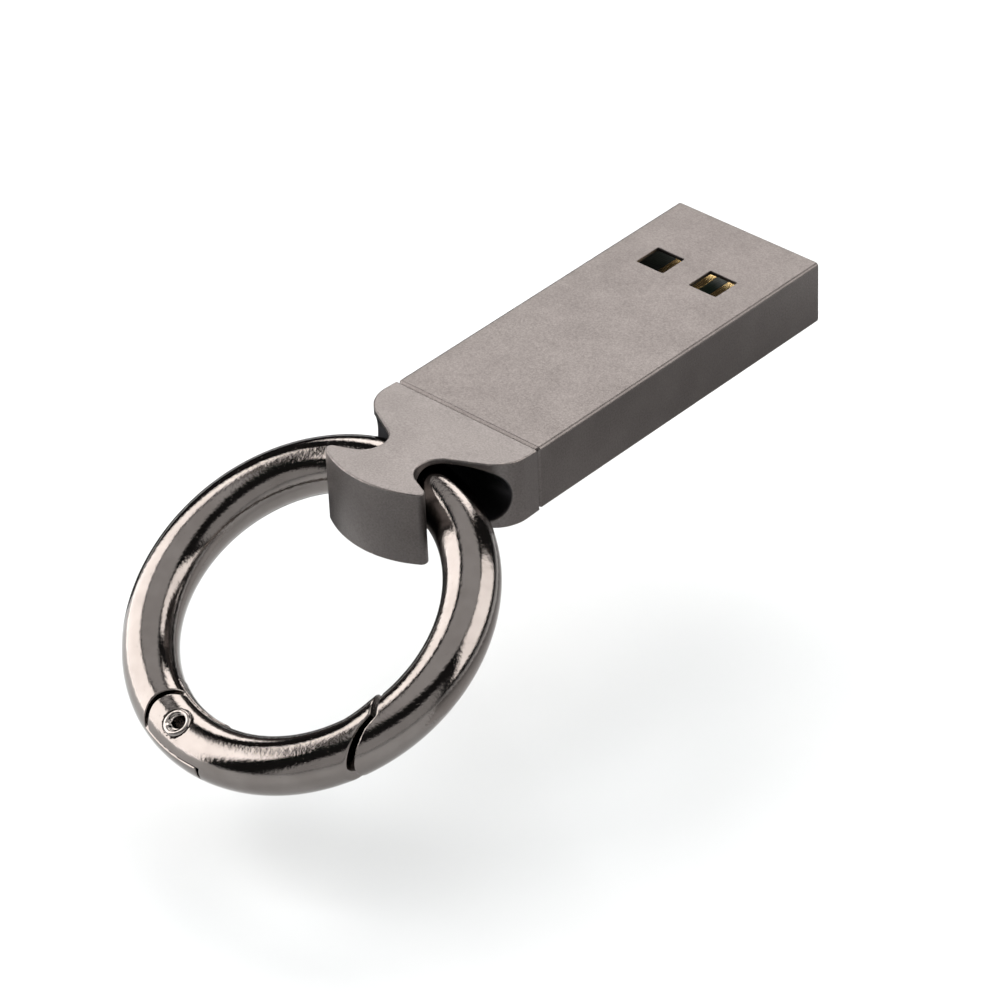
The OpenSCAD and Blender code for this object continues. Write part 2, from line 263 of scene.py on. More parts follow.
def pivot_frame(u, v):
    """Coordinates along the gate and towards the ring's centre, from the rivet's axis."""
    px, py = polar(RING_R, PIVOT_A)
    c, s = math.cos(math.radians(PIVOT_A + 90)), math.sin(math.radians(PIVOT_A + 90))
    return (u - px) * c + (v - py) * s, (v - py) * c - (u - px) * s


def gate_share(u, v, gap, heel):
    """Distance, in the ring's plane, to what belongs to the gate.
    That is the stretch from the rivet to the nose, and a round heel behind the rivet."""
    x, y = pivot_frame(u, v)
    after_rivet = np.where(v < 0, -past_radius(u, v, PIVOT_A), FAR)
    nose = np.where(u > NOSE_SIDE_U, polygon_distance(nose_region(gap), u, v), -FAR)
    return np.minimum(np.maximum(after_rivet, nose), np.hypot(x, y) - heel)


def ring_body_field(u, v, w):
    """The ring without the gate's share, and the tongue that the gate is riveted to."""
    torus = torus_distance(u, v, w)
    body = rounded_and(torus, -gate_share(u, v, NOSE_GAP, HEEL_R + HEEL_GAP), BODY_EDGE)
    proud = torus_distance(u, v, w, WIRE_R + TONGUE_PROUD * (np.hypot(u, v) < RING_R))
    tongue = rounded_and(proud, np.abs(w) - TONGUE_T / 2, TONGUE_EDGE)
    reach = np.maximum(past_radius(u, v, TONGUE_END_A), -past_radius(u, v, PIVOT_A - TONGUE_ROOT))
    tongue = rounded_and(tongue, reach, TONGUE_EDGE)
    x, y = pivot_frame(u, v)
    hole = np.hypot(x, y) - RIVET_R - HOLE_PLAY
    return np.maximum(np.minimum(body, tongue), -hole)


def ring_gate_field(u, v, w):
    """The gate: a raised lip inside its nose, and a slot, seats and a bore cut from it."""
    along = np.degrees(np.arctan2(v, u)) % 360
    inward = np.clip((RING_R - np.hypot(u, v)) / WIRE_R, 0, 1)
    lip = LIP_PROUD * inward * np.clip((along - LIP_A) / LIP_RISE, 0, 1)
    gate = rounded_and(torus_distance(u, v, w, WIRE_R + lip), gate_share(u, v, 0, HEEL_R), GATE_EDGE)
    x, y = pivot_frame(u, v)
    slot = np.maximum(np.hypot(x, y) - SLOT_END_R, np.abs(w) - SLOT_T / 2)
    gate = rounded_and(gate, -slot, SLOT_EDGE)
    shank = np.hypot(x, y) - RIVET_R - SHANK_PLAY
    seat = np.maximum(np.hypot(x, y) - SEAT_R, SEAT_Z - np.abs(w))
    gate = rounded_and(gate, -seat, SEAT_EDGE)
    bore = np.maximum(np.hypot(y - BORE_Y, w) - BORE_R, np.maximum(-x, x - BORE_L))
    return np.maximum(gate, -np.minimum(shank, bore))


def ring_piece(name, field, body, nodes):
    """Meshes one half of the split ring and sets it in the row frame."""
    low = np.array([-RING_OUT, -RING_OUT, -WIRE_R])
    high = -low
    points, quads, normal = net_surface(field, low, high, RING_CELL)
    piece = mesh_object(name, RING_C + points @ RING_AXES, quads, normal @ RING_AXES)
    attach(piece, body)
    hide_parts(*nodes)
    return piece


# ---------------------------------------------------------------- tail block

SHOULDER_R, SHOULDER_A = 2.6, 28.0
WAIST_HW, WAIST_R, WAIST_Y = 1.7, 1.65, 5.9
FIN_A, TIP_R, END_R = 24.0, 0.4, 7.6
HOLE_L, HOLE_H, HOLE_Y = 5.0, 4.14, 4.7
BLOCK_EDGE, HOLE_EDGE = 0.09, 0.12
SPIGOT_HW, SPIGOT_HT, SPIGOT_L, SPIGOT_EDGE = 5.62, 1.92, 2.0, 0.2
TONGUE_HW, TONGUE_LOW, TAIL_TONGUE_EDGE = 4.0, -0.1, 0.12
BURIED = 0.5                                            # how far the spigot starts inside the block


def arc(centre, r, a0, a1, steps):
    return [(centre[0] + polar(r, a)[0], centre[1] + polar(r, a)[1]) for a in np.linspace(a0, a1, steps)]


def tail_outline():
    """Plan of the block, y = 0 at the seam: shoulders, waist hollows, tips and a curved end."""
    sa, ca = polar(1, SHOULDER_A)[1], polar(1, SHOULDER_A)[0]
    sf, cf = polar(1, FIN_A)[1], polar(1, FIN_A)[0]
    waist = (WAIST_HW + WAIST_R, -WAIST_Y)
    reach = waist[0] * sa - waist[1] * ca - SHOULDER_R - WAIST_R - (BODY_W / 2 - SHOULDER_R) * sa
    shoulder = (BODY_W / 2 - SHOULDER_R, -reach / ca)
    end = (0.0, END_R - TAIL_L)
    from_end = (waist[0] - (WAIST_R + TIP_R) * sf - end[0], waist[1] - (WAIST_R + TIP_R) * cf - end[1])
    along = cf * from_end[0] - sf * from_end[1]
    left_over = from_end[0] ** 2 + from_end[1] ** 2 - (END_R - TIP_R) ** 2
    slide = math.sqrt(along ** 2 - left_over) - along
    tip = (end[0] + from_end[0] + slide * cf, end[1] + from_end[1] - slide * sf)
    tip_a = math.degrees(math.atan2(tip[1] - end[1], tip[0] - end[0]))
    right = [(BODY_W / 2, 0.0)]
    right += arc(shoulder, SHOULDER_R, 0, SHOULDER_A - 90, 25)
    right += arc(waist, WAIST_R, 90 + SHOULDER_A, 270 - FIN_A, 31)
    right += arc(tip, TIP_R, 90 - FIN_A, tip_a, 13)
    right += arc(end, END_R, tip_a, -90, 25)
    return right + [(-x, y) for x, y in right[-2::-1]]


def tail_field(x, y, z):
    """The tapered block with its cross hole, and the spigot that goes into the sleeve."""
    slope = (TAIL_T - BODY_T) / 2 / TAIL_L
    plan = polygon_distance(OUTLINE, x, y)
    faces = (np.abs(z) - BODY_T / 2 + slope * y) / math.hypot(1, slope)
    block = rounded_and(plan, faces, BLOCK_EDGE)
    slot_y = np.maximum(np.abs(y + HOLE_Y) - (HOLE_L - HOLE_H) / 2, 0)
    slot = np.hypot(slot_y, z) - HOLE_H / 2
    block = rounded_and(block, -slot, HOLE_EDGE)
    spigot = box_distance(x, y, z, (-SPIGOT_HW, -1, -SPIGOT_HT), (SPIGOT_HW, SPIGOT_L, SPIGOT_HT),
                          SPIGOT_EDGE)
    tongue = box_distance(x, y, z, (-TONGUE_HW, 1, TONGUE_LOW), (TONGUE_HW, tail_high[1] - SEAM, SPIGOT_HT),
                          TAIL_TONGUE_EDGE)
    inside = np.maximum(np.minimum(spigot, tongue), -y - BURIED)
    return np.minimum(block, inside)


OUTLINE = tail_outline()


def make_tail():
    low = np.array([tail_low[0], -TAIL_L, tail_low[2]])
    high = np.array([tail_high[0], tail_high[1] - SEAM, tail_high[2]])
    points, quads, normal = net_surface(tail_field, low, high, TAIL_CELL)
    piece = mesh_object("fishtail_block", points + [0, SEAM, 0], quads, normal)
    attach(piece, "drive")
    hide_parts("tail_block")
    return piece


# ---------------------------------------------------------------- sleeve


def rounded_rect(w, t, r, steps=7):
    """Points round a rectangle with rounded corners, in the XZ plane."""
    corners = [(w / 2 - r, t / 2 - r, 0), (r - w / 2, t / 2 - r, 90),
               (r - w / 2, r - t / 2, 180), (w / 2 - r, r - t / 2, 270)]
    return np.array([p for x, z, a in corners for p in arc((x, z), r, a, a + 90, steps)])


def tube_mesh(name, rings, close=True):
    """A mesh through rings of points; with close, the last ring joins the first."""
    count, sides = len(rings), len(rings[0])
    faces = []
    for i in range(count if close else count - 1):
        for j in range(sides):
            k, l = (i + 1) % count, (j + 1) % sides
            faces.append((i * sides + j, k * sides + j, k * sides + l, i * sides + l))
    if not close:
        faces.append(range(sides))
        faces.append(range(count * sides - 1, (count - 1) * sides - 1, -1))
    return mesh_object(name, np.concatenate(rings), faces)


def outward(piece):
    """Turns every face to look outward."""
    bm = bmesh.new()
    bm.from_mesh(piece.data)
    bmesh.ops.recalc_face_normals(bm, faces=bm.faces)
    bm.to_mesh(piece.data)
    bm.free()
    return piece


def settle(piece):
    """Applies a piece's modifiers to its mesh."""
    graph = bpy.context.evaluated_depsgraph_get()
    mesh = bpy.data.meshes.new_from_object(piece.evaluated_get(graph))
    piece.modifiers.clear()
    piece.data = mesh


def soften(piece, width, angle=35):
    """Rounds a piece's sharp edges and keeps its flat faces flat."""
    bevel = piece.modifiers.new("edges", "BEVEL")
    bevel.width = width * MM
    bevel.segments = 2
    bevel.limit_method = "ANGLE"
    bevel.angle_limit = math.radians(angle)
    flat = piece.modifiers.new("flat_faces", "WEIGHTED_NORMAL")
    flat.keep_sharp = True


WINDOW_W, WINDOW_L, WINDOW_Y, WINDOW_PITCH = 2.3, 2.2, 5.16, 4.5
EDGE_R, MOUTH_R, CHAMFER = 0.24, 0.1, 0.22
SEAM_GAP = 0.07
INNER_R, WINDOW_R, CUT_DEPTH, SLEEVE_SOFT = 0.15, 0.12, 0.5, 0.035


def make_sleeve():
    """The folded sleeve: one closed wall, its four windows cut out and its edges softened."""
    outer = rounded_rect(BODY_W, BODY_T, EDGE_R)
    inner = rounded_rect(BODY_W - 2 * WALL, BODY_T - 2 * WALL, INNER_R)
    # the wall's own section: (depth into the wall in mm, y)
    mouth = [(MOUTH_R - x, y - MOUTH_R) for x, y in arc((0, 0), MOUTH_R, 0, 90, 5)]
    section = mouth + [(WALL - x, y) for x, y in mouth[::-1]]
    section += [(WALL, SEAM + SEAM_GAP), (CHAMFER, SEAM + SEAM_GAP), (0, SEAM + SEAM_GAP + CHAMFER)]
    rings = []
    for depth, y in section:
        profile = outer + (inner - outer) * depth / WALL
        rings.append(np.insert(profile, 1, y, axis=1))
    sleeve = outward(tube_mesh("sleeve_shell", rings))
    cutters = []
    for x in (-1, 1):
        for z in (-1, 1):
            low = np.array([x * WINDOW_PITCH / 2 - WINDOW_W / 2, -WINDOW_Y - WINDOW_L,
                            z * BODY_T / 2 - CUT_DEPTH])
            window = rounded_rect(WINDOW_W, WINDOW_L, WINDOW_R, 4)
            middle = low + [WINDOW_W / 2, WINDOW_L / 2, 0]
            ends = [np.insert(window, 2, h, axis=1) + middle for h in (0, 1)]
            cutter = outward(tube_mesh("window", ends, close=False))
            cutters.append(cutter)
            cut = sleeve.modifiers.new("window", "BOOLEAN")
            cut.operation = "DIFFERENCE"
            cut.solver = "EXACT"
            cut.object = cutter
    settle(sleeve)
    for cutter in cutters:
        bpy.data.objects.remove(cutter)
    soften(sleeve, SLEEVE_SOFT)
    settle(sleeve)
    # the rear chamfer's faces take the second finish, a pale pink painted highlight
    for face in sleeve.data.polygons:
        face.material_index = int(face.center.y < (SEAM + SEAM_GAP + CHAMFER) * MM)
    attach(sleeve, "drive")
    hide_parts("plug_sleeve")
    return sleeve


# ---------------------------------------------------------------- hinge rivet, plunger and coil

PIVOT_AXES = np.array([GATE_T, np.cross(RING_N, GATE_T), RING_N])
RIVET_HOLE_R, RIM_R = 0.44, 0.19
CROWN_DROP, WALL_DROP, HEAD_FILLET, BORE_EDGE = 0.12, 0.06, 0.08, 0.05
SWELL_AT, SWELL_R, HOLE_AT = (0.3, 0.42, 0.12), 0.32, (0.06, 0.09)
PLUNGER_R, PLUNGER_L, PLUNGER_X, NOSE_R = 0.6, 1.9, 2.28, 2.0
COIL_R, COIL_WIRE_R, COIL_TURNS = 0.48, 0.12, 5


def rivet_field(x, y, z):
    """A tube whose two ends are rolled over, with a slight swelling and a hole a little off the middle."""
    radius = np.hypot(x, y)
    crown = np.abs(z) - WIRE_R + CROWN_DROP
    wall = np.maximum(radius - RIVET_R, np.abs(z) - WIRE_R + WALL_DROP)
    rim = np.hypot(radius - RIVET_HEAD_R + RIM_R, crown) - RIM_R
    swell_x, swell_y, swell_z = SWELL_AT
    swell = np.sqrt((x + swell_x) ** 2 + (y + swell_y) ** 2 + (crown + swell_z) ** 2) - SWELL_R
    head = soft_or(soft_or(wall, rim, HEAD_FILLET), np.maximum(swell, radius - RIVET_HEAD_R), HEAD_FILLET)
    hole = np.hypot(x - HOLE_AT[0], y - HOLE_AT[1]) - RIVET_HOLE_R
    return rounded_and(head, -hole, BORE_EDGE)


def make_rivet():
    reach = RIVET_HEAD_R + 0.05
    points, quads, normal = net_surface(rivet_field, [-reach, -reach, -2], [reach, reach, 2], RIVET_CELL)
    rivet = mesh_object("rolled_rivet", PIVOT + points @ PIVOT_AXES, quads, normal @ PIVOT_AXES)
    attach(rivet, "gate")
    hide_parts("hinge_rivet")
    return rivet


def in_bore(points):
    """Points given along and across the bore, moved to the row frame."""
    return PIVOT + (np.asarray(points) + [0, BORE_Y, 0]) @ PIVOT_AXES


def make_plunger():
    """A pin with a domed nose and a small chamfer behind."""
    dome = [(PLUNGER_X + NOSE_R - NOSE_R * math.cos(a), NOSE_R * math.sin(a))
            for a in np.linspace(0.02, math.asin(PLUNGER_R / NOSE_R), 8)]
    profile = dome + [(PLUNGER_X + PLUNGER_L - 0.1, PLUNGER_R), (PLUNGER_X + PLUNGER_L, PLUNGER_R - 0.1)]
    turns = np.linspace(0, 2 * math.pi, 48, endpoint=False)
    rings = [in_bore([(x, r * math.cos(a), r * math.sin(a)) for a in turns]) for x, r in profile]
    plunger = outward(tube_mesh("domed_plunger", rings, close=False))
    soften(plunger, 0.02)
    settle(plunger)
    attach(plunger, "plunger")
    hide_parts("spring_plunger")
    return plunger


def make_coil():
    """The gate's spring, with a closed turn at each end."""
    start = PLUNGER_X + PLUNGER_L + COIL_WIRE_R + 0.02
    end = BORE_L - COIL_WIRE_R - 0.02
    rings = []
    for t in np.linspace(0, 1, COIL_TURNS * 24 + 1):
        a = 2 * math.pi * COIL_TURNS * t
        along = min(max((t * COIL_TURNS - 0.6) / (COIL_TURNS - 1.2), 0), 1)
        x = start + (end - start) * (0.94 * along + 0.06 * t)
        ring = []
        for b in np.linspace(0, 2 * math.pi, 10, endpoint=False):
            r = COIL_R + COIL_WIRE_R * math.cos(b)
            ring.append((x + COIL_WIRE_R * math.sin(b), r * math.cos(a), r * math.sin(a)))
        rings.append(in_bore(ring))
    coil = outward(tube_mesh("wound_spring", rings, close=False))
    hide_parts("gate_spring")
    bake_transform(coil)
    return coil


# ---------------------------------------------------------------- finishes


class Finish:
    """A principled material whose colour, roughness and relief come from textures sized in mm."""

    def __init__(self, name, color, roughness, metallic=0.0):
        self.material = bpy.data.materials.new(name)
        self.material.use_nodes = True
        self.tree = self.material.node_tree
        self.shader = self.tree.nodes["Principled BSDF"]
        self.shader.inputs["Base Color"].default_value = (*color, 1)
        self.shader.inputs["Roughness"].default_value = roughness
        self.shader.inputs["Metallic"].default_value = metallic
        place = self.tree.nodes.new("ShaderNodeTexCoord")
        scale = self.tree.nodes.new("ShaderNodeMapping")
        scale.inputs["Scale"].default_value = (1 / MM, 1 / MM, 1 / MM)
        self.tree.links.new(place.outputs["Object"], scale.inputs["Vector"])
        self.place = scale.outputs["Vector"]

    def node(self, kind, links=(), **values):
        """A new node with its settings, socket values and links."""
        node = self.tree.nodes.new(kind)
        for key, value in values.items():
            setattr(node, key, value)
        for socket, value in dict(links).items():
            if isinstance(value, bpy.types.NodeSocket):
                self.tree.links.new(value, node.inputs[socket])
            else:
                node.inputs[socket].default_value = value
        return node

    def stretched(self, factors):
        """The texture space drawn out along one axis, for drawn wire, fibres and wiping marks."""
        return self.node("ShaderNodeMapping", {"Vector": self.place, "Scale": factors}).outputs["Vector"]

    def noise(self, per_mm, detail=3.0, place=None):
        links = {"Vector": place or self.place, "Scale": per_mm, "Detail": detail, "Roughness": 0.6}
        return self.node("ShaderNodeTexNoise", links).outputs[0]

    def cells(self, per_mm):
        return self.node("ShaderNodeTexVoronoi", {"Vector": self.place, "Scale": per_mm}).outputs["Distance"]

    def remap(self, value, low, high, to_low=0.0, to_high=1.0):
        links = {"Value": value, "From Min": low, "From Max": high, "To Min": to_low, "To Max": to_high}
        return self.node("ShaderNodeMapRange", links).outputs[0]

    def math(self, operation, a, b):
        return self.node("ShaderNodeMath", {0: a, 1: b}, operation=operation).outputs[0]

    def edges(self, low, high):
        """How sharply a point sticks out, from the mesh's own curvature."""
        return self.remap(self.node("ShaderNodeNewGeometry").outputs["Pointiness"], low, high)

    def blend(self, factor, a, b):
        """Colour a where the factor is 0 and b where it is 1."""
        ramp = self.node("ShaderNodeMix", {0: factor}, data_type="RGBA")
        for socket, value in ((6, a), (7, b)):
            if isinstance(value, bpy.types.NodeSocket):
                self.tree.links.new(value, ramp.inputs[socket])
            else:
                ramp.inputs[socket].default_value = (*value, 1)
        return ramp.outputs[2]

    def color(self, socket):
        self.tree.links.new(socket, self.shader.inputs["Base Color"])

    def roughness(self, socket):
        self.tree.links.new(socket, self.shader.inputs["Roughness"])

    def relief(self, *layers):
        """Bumps, each a height and its depth in mm."""
        normal = None
        for height, depth in layers:
            links = {"Height": height, "Distance": depth * MM, "Strength": 1.0}
            if normal:
                links["Normal"] = normal
            normal = self.node("ShaderNodeBump", links).outputs[0]
        self.tree.links.new(normal, self.shader.inputs["Normal"])


def blasted(name, dark, light, cast=False):
    """Bead-blasted, nickel-grey plating: fine grain and faint clouds. A cast piece has paler edges, partly
    wear and partly a painted edge highlight, and the inside of its cross hole is painted near black as
    painted shade."""
    f = Finish(name, light, 0.38, 1.0)
    grain = f.noise(8.0, 4.0)
    clouds = f.noise(0.35, 2.0)
    tone = f.math("ADD", f.remap(grain, 0.3, 0.7, 0.0, 0.65), f.remap(clouds, 0.3, 0.7, 0.0, 0.35))
    base = f.blend(tone, dark, light)
    rough = f.remap(grain, 0.3, 0.7, 0.42, 0.34)
    if cast:
        # paler patches on the pointy edges: partly wear, partly a painted edge highlight
        worn_edges_and_painted_highlight = f.math("MULTIPLY", f.edges(0.52, 0.6), f.remap(f.noise(1.6, 4.0), 0.4, 0.62))
        base = f.blend(worn_edges_and_painted_highlight, base, (0.3, 0.26, 0.24))
        # the inside of the cross hole is painted near black: painted shade
        along = f.node("ShaderNodeSeparateXYZ", {0: f.place})
        from_axis = f.math("ABSOLUTE", f.math("SUBTRACT", along.outputs["Y"], SEAM - HOLE_Y), 0.0)
        off_slot = f.math("MAXIMUM", f.math("SUBTRACT", from_axis, (HOLE_L - HOLE_H) / 2), 0.0)
        square = f.math("ADD", f.math("POWER", off_slot, 2.0), f.math("POWER", along.outputs["Z"], 2.0))
        painted_hole_shade = f.remap(square, (HOLE_H / 2 + 0.1) ** 2, (HOLE_H / 2 + 0.02) ** 2)
        base = f.blend(painted_hole_shade, base, (0.022, 0.021, 0.023))
    f.color(base)
    f.roughness(rough)
    f.relief((f.noise(11.0, 2.0), 0.007), (f.noise(2.5, 3.0), 0.003))
    return f.material


def satin_metal():
    return blasted("satin_metal", (0.088, 0.078, 0.075), (0.138, 0.125, 0.12))


def satin_cast():
    return blasted("satin_cast", (0.104, 0.094, 0.091), (0.158, 0.145, 0.14), cast=True)


def painted_highlight_chamfer():
    """The sleeve's rear chamfer, coloured pale pink: a painted highlight."""
    return blasted("painted_highlight_chamfer", (0.58, 0.48, 0.43), (0.72, 0.62, 0.56))


def black_nickel():
    """Polished dark nickel: mirror gloss, a slow polishing wave and fine pits."""
    f = Finish("black_nickel", (0.19, 0.172, 0.162), 0.06, 1.0)
    clouds = f.noise(0.5, 2.0)
    pits = f.remap(f.cells(5.0), 0.12, 0.03)
    rare = f.math("MULTIPLY", pits, f.remap(f.noise(1.3, 2.0), 0.52, 0.6))
    base = f.blend(f.remap(clouds, 0.3, 0.7), (0.176, 0.158, 0.148), (0.205, 0.186, 0.176))
    f.color(f.blend(rare, base, (0.05, 0.045, 0.045)))
    f.roughness(f.remap(f.noise(2.5, 3.0), 0.35, 0.7, 0.035, 0.11))
    f.relief((f.noise(0.55, 1.0), 0.014), (f.noise(4.0, 4.0), 0.012), (rare, -0.01))
    return f.material


def rivet_nickel():
    """The rivet's plating, a little brighter and marked by the rolling tool."""
    f = Finish("rivet_nickel", (0.25, 0.23, 0.22), 0.1, 1.0)
    marks = f.noise(3.0, 3.0)
    f.color(f.blend(f.remap(marks, 0.35, 0.65), (0.2, 0.182, 0.172), (0.3, 0.275, 0.26)))
    f.roughness(f.remap(marks, 0.3, 0.7, 0.06, 0.2))
    f.relief((f.noise(4.0, 2.0), 0.012))
    return f.material


def spring_steel():
    f = Finish("spring_steel", (0.5, 0.49, 0.47), 0.25, 1.0)
    drawn = f.noise(6.0, 3.0, f.stretched((0.2, 1, 1)))
    f.color(f.blend(f.remap(drawn, 0.35, 0.65), (0.42, 0.41, 0.4), (0.6, 0.58, 0.56)))
    f.roughness(f.remap(drawn, 0.3, 0.7, 0.18, 0.36))
    f.relief((drawn, 0.003))
    return f.material


def black_plastic():
    """Moulded black PBT with a fine spark-eroded grain."""
    f = Finish("black_plastic", (0.018, 0.018, 0.019), 0.5)
    grain = f.noise(7.0, 3.0)
    f.color(f.blend(f.remap(grain, 0.3, 0.7), (0.013, 0.013, 0.014), (0.028, 0.028, 0.03)))
    f.roughness(f.remap(grain, 0.3, 0.7, 0.42, 0.6))
    f.relief((grain, 0.01))
    return f.material


def epoxy():
    """Filled black moulding compound."""
    f = Finish("epoxy", (0.02, 0.02, 0.02), 0.6)
    filler = f.noise(10.0, 4.0)
    f.color(f.blend(f.remap(filler, 0.4, 0.7), (0.016, 0.016, 0.017), (0.05, 0.05, 0.05)))
    f.roughness(f.remap(f.noise(1.0, 2.0), 0.3, 0.7, 0.5, 0.68))
    f.relief((filler, 0.006))
    return f.material


def board():
    """Dark solder mask with the weave of the laminate just showing."""
    f = Finish("board", (0.01, 0.03, 0.018), 0.35)
    warp = f.node("ShaderNodeTexWave", {"Vector": f.place, "Scale": 1.6}, bands_direction="X").outputs[1]
    weft = f.node("ShaderNodeTexWave", {"Vector": f.place, "Scale": 1.6}, bands_direction="Y").outputs[1]
    weave = f.math("MULTIPLY", warp, weft)
    f.color(f.blend(weave, (0.006, 0.02, 0.012), (0.014, 0.042, 0.026)))
    f.roughness(f.remap(f.noise(1.5, 2.0), 0.3, 0.7, 0.28, 0.42))
    f.relief((weave, 0.004))
    return f.material


def gold():
    """Hard gold contacts, with fine wiping marks along the plug."""
    f = Finish("gold", (0.83, 0.6, 0.26), 0.22, 1.0)
    wiping = f.noise(14.0, 3.0, f.stretched((1, 0.06, 1)))
    f.color(f.blend(f.remap(wiping, 0.35, 0.65), (0.74, 0.51, 0.2), (0.9, 0.68, 0.33)))
    f.roughness(f.remap(wiping, 0.3, 0.7, 0.16, 0.34))
    f.relief((wiping, 0.002))
    return f.material


def silicon():
    f = Finish("silicon", (0.16, 0.16, 0.19), 0.12, 0.6)
    streets = f.cells(1.4)
    f.color(f.blend(f.remap(streets, 0.1, 0.5), (0.11, 0.11, 0.15), (0.2, 0.19, 0.22)))
    f.roughness(f.remap(f.noise(3.0, 2.0), 0.3, 0.7, 0.08, 0.18))
    f.relief((streets, 0.001))
    return f.material


def film():
    f = Finish("film", (0.5, 0.3, 0.08), 0.4)
    cloud = f.noise(1.5, 3.0)
    f.color(f.blend(f.remap(cloud, 0.3, 0.7), (0.42, 0.24, 0.06), (0.6, 0.38, 0.12)))
    f.roughness(f.remap(cloud, 0.3, 0.7, 0.3, 0.5))
    f.relief((cloud, 0.003))
    return f.material


def ceramic():
    """Chip capacitors: tan ceramic."""
    f = Finish("ceramic", (0.42, 0.32, 0.22), 0.5)
    grain = f.noise(8.0, 3.0)
    f.color(f.blend(f.remap(grain, 0.3, 0.7), (0.34, 0.25, 0.17), (0.5, 0.39, 0.28)))
    f.roughness(f.remap(grain, 0.3, 0.7, 0.4, 0.6))
    f.relief((grain, 0.004))
    return f.material


def adhesive():
    f = Finish("adhesive", (0.6, 0.52, 0.36), 0.3)
    flow = f.noise(1.2, 4.0)
    f.color(f.blend(f.remap(flow, 0.3, 0.7), (0.5, 0.42, 0.28), (0.68, 0.6, 0.44)))
    f.roughness(f.remap(flow, 0.3, 0.7, 0.2, 0.42))
    f.relief((flow, 0.02))
    return f.material


def tape():
    f = Finish("tape", (0.8, 0.8, 0.77), 0.6)
    fibre = f.noise(5.0, 4.0, f.stretched((1, 0.2, 1)))
    f.color(f.blend(f.remap(fibre, 0.3, 0.7), (0.7, 0.7, 0.66), (0.86, 0.86, 0.83)))
    f.roughness(f.remap(fibre, 0.3, 0.7, 0.5, 0.7))
    f.relief((fibre, 0.006))
    return f.material


def pale_floor():
    f = Finish("pale_floor", (0.74, 0.77, 0.785), 0.7)
    paper = f.noise(0.05, 3.0)
    f.color(f.blend(f.remap(paper, 0.3, 0.7), (0.73, 0.76, 0.775), (0.75, 0.775, 0.79)))
    f.roughness(f.remap(f.noise(0.4, 3.0), 0.3, 0.7, 0.62, 0.74))
    return f.material


FINISHES = {
    "satin_metal": satin_metal, "satin_cast": satin_cast, "painted_highlight_chamfer": painted_highlight_chamfer,
    "black_nickel": black_nickel, "rivet_nickel": rivet_nickel,
    "spring_steel": spring_steel, "black_plastic": black_plastic, "epoxy": epoxy, "board": board,
    "gold": gold, "silicon": silicon, "film": film, "ceramic": ceramic, "adhesive": adhesive, "tape": tape,
}
NODE_FINISH = {
    "tail_adhesive": "adhesive", "carrier_tray": "black_plastic", "cavity_stop": "black_plastic",
    "module_tape": "tape", "mould_body": "epoxy", "substrate_board": "board", "controller_die": "silicon",
    "nand_die_lower": "silicon", "nand_die_upper": "silicon", "die_films": "film", "bond_wires": "gold",
    "passives": "ceramic", "test_pads": "gold", "contact_vbus": "gold", "contact_d_minus": "gold",
    "contact_d_plus": "gold", "contact_gnd": "gold",
}
SOFTENED = {"carrier_tray": 0.05, "cavity_stop": 0.08, "substrate_board": 0.03, "contact_vbus": 0.02,
            "contact_d_minus": 0.02, "contact_d_plus": 0.02, "contact_gnd": 0.02}
finishes = {name: make() for name, make in FINISHES.items()}


def paint(piece, *names):
    """Gives a piece its finishes, one for each material index of its faces."""
    piece.data.materials.clear()
    for name in names:
        piece.data.materials.append(finishes[name])


paint(make_sleeve(), "satin_metal", "painted_highlight_chamfer")
paint(make_tail(), "satin_cast")
paint(ring_piece("split_ring_body", ring_body_field, "ring", ["ring_body"]), "black_nickel")
paint(ring_piece("split_ring_gate", ring_gate_field, "gate", ["ring_gate"]), "black_nickel")
paint(make_rivet(), "rivet_nickel")
paint(make_plunger(), "spring_steel")
paint(make_coil(), "spring_steel")
for node, finish in NODE_FINISH.items():
    cad = frame["nodes"][node]
    for held in cad.material_slots:
        held.material = finishes[finish]
    if node in SOFTENED:
        weld = cad.modifiers.new("weld", "WELD")
        weld.merge_threshold = 0.001 * MM
        soften(cad, SOFTENED[node])

# ---------------------------------------------------------------- camera

CAMERA_AZIMUTH, CAMERA_ELEVATION, CAMERA_ROLL = 43.78, 35.54, -2.56
CAMERA_DISTANCE = 298 * MM
CAMERA_TARGET = Vector((2.8, SEAM - 0.2, -2.85)) * MM
CAMERA_LENS = 170.8


def make_camera():
    az, el = math.radians(CAMERA_AZIMUTH), math.radians(CAMERA_ELEVATION)
    back = Vector((math.sin(az) * math.cos(el), -math.cos(az) * math.cos(el), math.sin(el)))
    right = Vector((math.cos(az), math.sin(az), 0))
    up = back.cross(right)
    turn = Matrix.Rotation(math.radians(CAMERA_ROLL), 3, back)
    right, up = turn @ right, turn @ up
    data = bpy.data.cameras.new("camera")
    data.lens = CAMERA_LENS
    data.sensor_width = 36
    data.clip_start = 0.01
    camera = bpy.data.objects.new("camera", data)
    bpy.context.collection.objects.link(camera)
    place = Matrix((right, up, back)).transposed().to_4x4()
    place.translation = CAMERA_TARGET + back * CAMERA_DISTANCE
    camera.matrix_world = place
    bpy.context.scene.camera = camera


make_camera()

# ---------------------------------------------------------------- studio

# the floor lies just below the ring when it hangs as far down as it goes
DROOP = math.atan2(-RING_N[1], RING_N[2]) + math.radians(joints["ring_swing"]["range_deg"][1])
FLOOR_Z = (SWING[2] - 2 * RING_R * math.sin(DROOP) - WIRE_R - 0.3) * MM
LAMP_COLOR = (1.0, 0.97, 0.945)


def make_floor():
    half = 3.0
    corners = [(-half, -half, FLOOR_Z), (half, -half, FLOOR_Z), (half, half, FLOOR_Z), (-half, half, FLOOR_Z)]
    mesh = bpy.data.meshes.new("floor")
    mesh.from_pydata(corners, [], [(0, 1, 2, 3)])
    mesh.materials.append(pale_floor())
    floor = bpy.data.objects.new("floor", mesh)
    bpy.context.collection.objects.link(floor)


